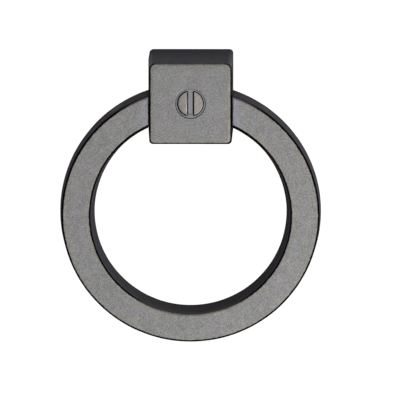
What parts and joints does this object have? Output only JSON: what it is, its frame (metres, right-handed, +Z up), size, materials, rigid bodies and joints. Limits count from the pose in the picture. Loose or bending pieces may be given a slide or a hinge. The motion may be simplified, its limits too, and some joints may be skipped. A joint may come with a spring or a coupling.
{
  "type": "ring pull handle",
  "caption": "Square mounting block with a slotted screw in its face and a flat ring that swings from the block's sides, in dark patinated cast metal.",
  "frame": {"origin": "on the fixing screw's axis, in the plane of the mounting block's back face", "axes": "+Y along the screw into the furniture, +Z up, X across the front"},
  "size_m": [0.0746, 0.0354, 0.0819],
  "materials": {
    "block_metal": "sand cast and rubbed, over a near-black patina",
    "ring_metal": "sand cast and rubbed, over a near-black patina",
    "pin_metal": "drawn rod, darkened with the ring",
    "screw_metal": "finely brushed, darkened in its recesses"
  },
  "bodies": {
    "block": {"mounting_block": "block_metal", "fixing_screw": "screw_metal"},
    "ring": {"ring": "ring_metal", "pivot_pin_left": "pin_metal", "pivot_pin_right": "pin_metal"}
  },
  "joints": [
    {"name": "ring_swing", "type": "hinge", "parent": "block", "child": "ring", "pos_m": [0, -0.016, -0.0023], "axis": [-1, 0, 0], "range_deg": [-10, 190]}
  ]
}
